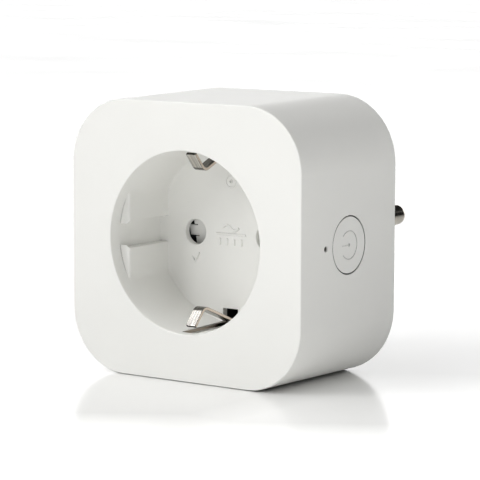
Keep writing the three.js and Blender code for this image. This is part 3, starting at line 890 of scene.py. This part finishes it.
def rear_contact(name, side):
    """The strip that lies in a groove of the plug and turns inwards at its root."""
    end, turn, root = 53.2, 38.9, 31.7  # depths
    outer, inner = 16.9, 13.8  # distances from the axis
    path = fillet([(end, outer, 0), (turn, outer, 0.6), (turn, inner, 0.6), (root, inner, 0)])
    stations = []
    for i, point in enumerate(path):
        before, after = path[max(i - 1, 0)], path[min(i + 1, len(path) - 1)]
        along = (after - before).normalized()
        scale = 0.8 if i in (0, len(path) - 1) else 1
        stations.append(((point.x, point.y), (along.y, -along.x), scale))
        if i == 0:
            shoulder = point + along * 0.15
            stations.append(((shoulder.x, shoulder.y), (along.y, -along.x), 1))
    rings = strip(stations, width=4.4, thickness=0.8, edge=0.12)
    rings = [[(side * x, y, side * z) for x, y, z in points] for points in rings]
    contact = as_object(capped(loft(rings)), f"{name}_strip")
    return finish_piece(contact, NICKEL, "case", "nickel", name)


rear_contact("rear_earth_contact_top", 1)
rear_contact("rear_earth_contact_bottom", -1)


def earth_sleeve():
    """The tube behind the plug's earth hole, with a rolled mouth and a tab at its root."""
    bore, start, end = 2.5, 36.5, 53.9
    profile = fillet([(bore, start, 0), (SLEEVE_RADIUS, start, 0.1), (SLEEVE_RADIUS, end, 0.15),
                      (bore + 0.05, end, 0.15), (bore, end - 0.7, 0), (bore, start, 0)], 3)[:-1]
    sleeve = as_object(lathe(profile, 56, (0, SLEEVE_Z), closed=True), "sleeve_tube")
    tab = box((-1.2, 1.2), (start, start + 2.5), (SLEEVE_Z + 2.6, SLEEVE_Z + 3.1))
    carve(sleeve, [tab], "UNION")
    return finish_piece(sleeve, NICKEL, "case", "nickel", "earth_sleeve")


earth_sleeve()


def cover_screw(name, x, z):
    """A screw with a domed head and a cross recess that narrows towards its bottom."""
    shank, head = 1.05, 2.4  # radii
    tip, neck, brim, crown = 24, 35.1, 35.6, 35.95  # depths
    corners = [(0, tip, 0), (shank, tip + 0.8, 0.1), (shank, neck, 0), (head, neck, 0.12),
               (head, brim, 0.25), (0, crown, 0)]
    screw = as_object(lathe(fillet(corners), 48, (x, z)), f"{name}_head")
    arm, slit = 1.25, 0.22  # half length and half width of a stroke of the cross
    cross = []
    for half_x, half_z in ((arm, slit), (slit, arm)):
        ends = []
        for y, share in ((35.3, 0.45), (36.2, 1.1)):
            ends.append([(x + sx * half_x * share, y, z + sz * half_z * share)
                         for sx, sz in ((-1, -1), (1, -1), (1, 1), (-1, 1))])
        cross.append(capped(loft(ends)))
    carve(screw, cross)
    return finish_piece(screw, SCREW_METAL, "case", "steel", name)


for vertical, z in (("upper", POST), ("lower", -POST)):
    for horizontal, x in (("right", POST), ("left", -POST)):
        cover_screw(f"cover_screw_{vertical}_{horizontal}", x, z)

# ----------------------------------------------------------------------------- shutter


def safety_shutter():
    """A ring with two ramps. Each ramp ends in a tongue set off by two slits."""
    wide, tongue, slit_end = 3.2, 1.15, 1.37  # half heights
    bore, rim = 1.75, 4.6  # radii of the ring
    front, back = 19.5, 21.5

    def ramp(half):
        """A ramp's side view. The wide one slopes by 0.65 over its half height."""
        rise = 0.65 / wide * half
        return [(20.05 - rise, -half), (20.05 + rise, half),
                (20.95 + rise, half), (20.95 - rise, -half)]

    def mirrored(outline):
        return [(y, -z) for y, z in outline]

    hub = [(bore, front), (rim, front), (rim, back), (bore, back)]
    shutter = as_object(lathe(hub, 48, closed=True), "shutter_ramps")
    parts = []
    slits = []
    for side, turned in ((1, list), (-1, mirrored)):
        for half, reach in ((wide, (3.5, 11.4)), (tongue, (11, 12.8))):
            ends = sorted(side * x for x in reach)
            parts.append(bar(turned(ramp(half)), *ends))
        for z in spans(tongue, slit_end):
            ends = sorted((side * 10.5, side * 11.6))
            slits.append(box(ends, (front - 0.5, back + 0.5), z))
    carve(shutter, parts, "UNION")
    carve(shutter, slits)
    soften = shutter.modifiers.new("soften", "BEVEL")
    soften.width = 0.06 * MM
    soften.segments = 2
    soften.angle_limit = radians(40)
    settle(shutter)
    return finish_piece(shutter, GREY, "shutter", "grey_plastic", "safety_shutter")


safety_shutter()

# ------------------------------------------------------------------------------ button

CAP_SUNK = 0.03  # the cap's face lies this much below the wall


def standby_groove():
    """Cutters for the standby mark: an open ring and a bar, engraved in the button."""
    turned = Matrix.Rotation(-LEAN, 4, "Z")
    foot = Vector((FACE_HALF + DRAFT * BUTTON_DEPTH / DEPTH - CAP_SUNK, BUTTON_DEPTH, BUTTON_Z))

    def groove(path, width, depth):
        rings = []
        for i, point in enumerate(path):
            before, after = path[max(i - 1, 0)], path[min(i + 1, len(path) - 1)]
            along = (after - before).normalized()
            side = Vector((-along.y, along.x)) * width / 2
            section = [(-0.6, -depth), (0.6, -depth), (1.6, 0.5), (-1.6, 0.5)]
            rings.append([tuple(foot + turned @ Vector(
                (h, point.x + side.x * u, point.y + side.y * u))) for u, h in section])
        return capped(loft(rings))

    radius, gap_half = 3.02, radians(42)
    span = 2 * pi - 2 * gap_half
    arc = [radius * Vector((cos(pi + gap_half + span * k / 48), sin(pi + gap_half + span * k / 48)))
           for k in range(49)]
    stroke = [Vector((-2.65, 0)), Vector((-1.3, 0)), Vector((0, 0))]
    dot = [point * 0.08 for point in arc]
    return [groove(arc, 0.3, 0.14), groove(stroke, 0.28, 0.1), groove(dot, 0.3, 0.16)]


def power_button():
    """The cap: a disc flush with the wall, a flange behind it, and a stem to the switch."""
    flange, hollow, stem = 7, 5, 1.3  # radii
    hollow_end, flange_front, flange_back, stem_end = -1.6, -2.5, -3.25, -3.35
    corners = [(0, -CAP_SUNK, 0), (BUTTON_RADIUS, -CAP_SUNK, 0.14),
               (BUTTON_RADIUS, flange_front, 0.1), (flange, flange_front, 0.1),
               (flange, flange_back, 0.1), (hollow, flange_back, 0.1), (hollow, hollow_end, 0.3),
               (stem, hollow_end, 0.2), (stem, stem_end, 0.15), (0, stem_end, 0)]
    cap = side_lathe([tuple(p) for p in fillet(corners)], BUTTON_DEPTH, BUTTON_Z, 96)
    cap = as_object(cap, "button_cap")
    carve(cap, standby_groove())
    return finish_piece(cap, WHITE, "button", "white_plastic", "power_button")


power_button()


def light_pipe():
    """A smoked rod behind the indicator hole, with a domed tip and a broad foot."""
    tip, foot = 0.53, 1.5  # radii
    foot_front, foot_back = -2.35, -5.75
    corners = [(0, -0.28, 0), (tip, -0.32, 0.2), (tip, foot_front, 0.1),
               (foot, foot_front, 0.15), (foot, foot_back, 0.15), (0, foot_back, 0)]
    rod = side_lathe([tuple(p) for p in fillet(corners)], LED_DEPTH, BUTTON_Z, 48)
    rod = as_object(rod, "smoked_rod")
    return finish_piece(rod, SMOKED, "case", "clear_plastic", "light_pipe")


light_pipe()

# ------------------------------------------------------ CAD nodes that stay as they are

FINISHES = {
    "grey_plastic": GREY, "black_plastic": BLACK, "steel": STEEL,
    "yellow_plastic": YELLOW, "clear_plastic": CLEAR, "ceramic": CERAMIC, "nickel": NICKEL,
    "brass": BRASS, "copper": COPPER, "ferrite": FERRITE, "board": BOARD,
    "white_plastic": WHITE,
}
SPECIAL = {"relay_coil": WINDING}
SLOT_OF = {part["node"]: part["material_slot"] for part in frame["record"]["subparts"]}

for node, piece in frame["nodes"].items():
    if piece.hide_render:
        continue
    finish = SPECIAL.get(node, FINISHES[SLOT_OF[node]])
    piece.data.materials.clear()
    piece.data.materials.append(finish)
    thinnest = min(piece.dimensions)
    soften = piece.modifiers.new("soften", "BEVEL")
    soften.width = min(0.12 * MM, 0.12 * thinnest)
    soften.segments = 2
    soften.limit_method = "ANGLE"
    soften.angle_limit = radians(40)

# ------------------------------------------------------------- floor, lights and camera

FLOOR_REACH = 8.0
TOWARDS_CAMERA = (0.57, -0.82, 0)
BAND_TOP = 18
BAND_EDGE = 4
BAND_STRENGTH = 1.56
CEILING = 0.01
# Dark cards in front of the band: azimuth, half width in degrees, share of light they pass.
CARDS = ((126, 37, 0.01), (-50, 40, 0.02), (50, 40, 0.62))
CARD_EDGE = 6
LIGHT_DISTANCE = 1.2
# Soft boxes: azimuth, elevation, width in metres, power in watts.
LIGHTS = {
    "key": (-30, 40, 0.6, 4.8),
    "left": (-90, 60, 0.6, 2.9),
    "left_high": (-64, 53, 0.6, 0.95),
    "right": (100, 40, 0.6, 2.4),
    "right_high": (60, 68, 0.6, 1.5),
    "rear_high": (120, 68, 0.6, 0.3),
    "spot": (-45, 50, 0.25, 1.2),
    "low_front": (-25, 20, 0.25, 1.1),
    "low_left": (-45, 20, 0.25, 0.85),
}


def studio_floor():
    """A wide, pale, slightly glossy floor that the leaning underside rests flat on.

    Painted light: the floor glows a little in a patch before the object's right side, which
    lightens its shadow, and farther in front, which fades out its reflection.
    """
    look = Finish("studio_floor", IOR=1.45)
    clouds = look.noise(scale=6, detail=2)
    look.link(look.colours(clouds, (0.9, 0.9, 0.89), (0.92, 0.92, 0.91)), "Base Color")
    look.link(look.spread(clouds, 0.13, 0.17), "Roughness")
    # painted light: emission that lightens the object's shadow beside it and its reflection farther
    # in front
    ahead = look.along(look.place, TOWARDS_CAMERA)
    beside = look.spread(look.part(look.place, "X"), 0, 1, start=0.022, end=0.034)
    near = look.maths("MULTIPLY", look.spread(ahead, 0, 0.14, start=0.015, end=0.045), beside)
    far = look.spread(ahead, 0, 0.5, start=0.066, end=0.094)
    fade = look.spread(ahead, 1, 0, start=0.3, end=0.6)
    painted_floor_light = look.maths("MULTIPLY", look.maths("MAXIMUM", near, far), fade)
    look.shader.inputs["Emission Color"].default_value = (1, 1, 0.99, 1)
    look.link(painted_floor_light, "Emission Strength")
    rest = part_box("front_housing")[0].y + DEPTH * MM
    mesh = bmesh.new()
    rows = []
    for a in directions(64):
        x, y = FLOOR_REACH * cos(a), FLOOR_REACH * sin(a)
        rows.append(mesh.verts.new((x, y, -tan(LEAN) * (y - rest))))
    mesh.faces.new(rows)
    floor = as_object(mesh, "studio_floor")
    floor.data.materials.append(look.material)


def surroundings():
    """A white band round the horizon, partly covered by dark cards, under a dim ceiling."""
    world = bpy.data.worlds.new("studio")
    world.use_nodes = True
    look = Tree(world.node_tree)
    direction = look.node("TexCoord").outputs["Generated"]
    low, high = sin(radians(BAND_TOP - BAND_EDGE)), sin(radians(BAND_TOP + BAND_EDGE))
    colour = look.colours(look.part(direction, "Z"), (1, 1, 1), 3 * (CEILING,), low, high)
    for azimuth, half, share in CARDS:
        turn = radians(azimuth)
        facing = look.along(direction, (sin(turn), -cos(turn), 0))
        outer, inner = cos(radians(half + CARD_EDGE)), cos(radians(half - CARD_EDGE))
        colour = look.product(colour, look.spread(facing, 1, share, outer, inner))
    background = world.node_tree.nodes["Background"]
    world.node_tree.links.new(colour, background.inputs["Color"])
    background.inputs["Strength"].default_value = BAND_STRENGTH
    bpy.context.scene.world = world


def soft_light(name, azimuth, elevation, width, power):
    """A square soft box aimed at the middle; azimuth 0 is straight in front, 90 the right."""
    turn, rise = radians(azimuth), radians(elevation)
    away = Vector((sin(turn) * cos(rise), -cos(turn) * cos(rise), sin(rise)))
    data = bpy.data.lights.new(name, "AREA")
    data.shape = "SQUARE"
    data.size = width
    data.energy = power
    lamp = bpy.data.objects.new(name, data)
    lamp.location = device(0, DEPTH / 2, 0) + LIGHT_DISTANCE * away
    lamp.rotation_euler = (-away).to_track_quat("-Z", "Y").to_euler()
    bpy.context.scene.collection.objects.link(lamp)


def camera():
    """The product view: a long lens to the right of the front and a little above it."""
    azimuth, elevation, roll = radians(34.911), radians(7.402), radians(0.2)
    to_right, to_top, away = -12.036, -0.693, 508.17  # the socket's mouth seen from the eye
    back = Vector((sin(azimuth) * cos(elevation), -cos(azimuth) * cos(elevation), sin(elevation)))
    right = Vector((cos(azimuth), sin(azimuth), 0))
    up = back.cross(right)
    right, up = (cos(roll) * right + sin(roll) * up, -sin(roll) * right + cos(roll) * up)
    place = device(0, 0, 0) + MM * (back * away - right * to_right - up * to_top)
    data = bpy.data.cameras.new("camera")
    data.sensor_width = 36
    data.lens = 179.37
    data.clip_end = 20
    eye = bpy.data.objects.new("camera", data)
    eye.matrix_world = Matrix.Translation(place) @ Matrix((right, up, back)).transposed().to_4x4()
    bpy.context.scene.collection.objects.link(eye)
    bpy.context.scene.camera = eye


studio_floor()
surroundings()
for name, (azimuth, elevation, width, power) in LIGHTS.items():
    soft_light(name, azimuth, elevation, width, power)
camera()
bpy.context.scene.view_settings.view_transform = "Standard"
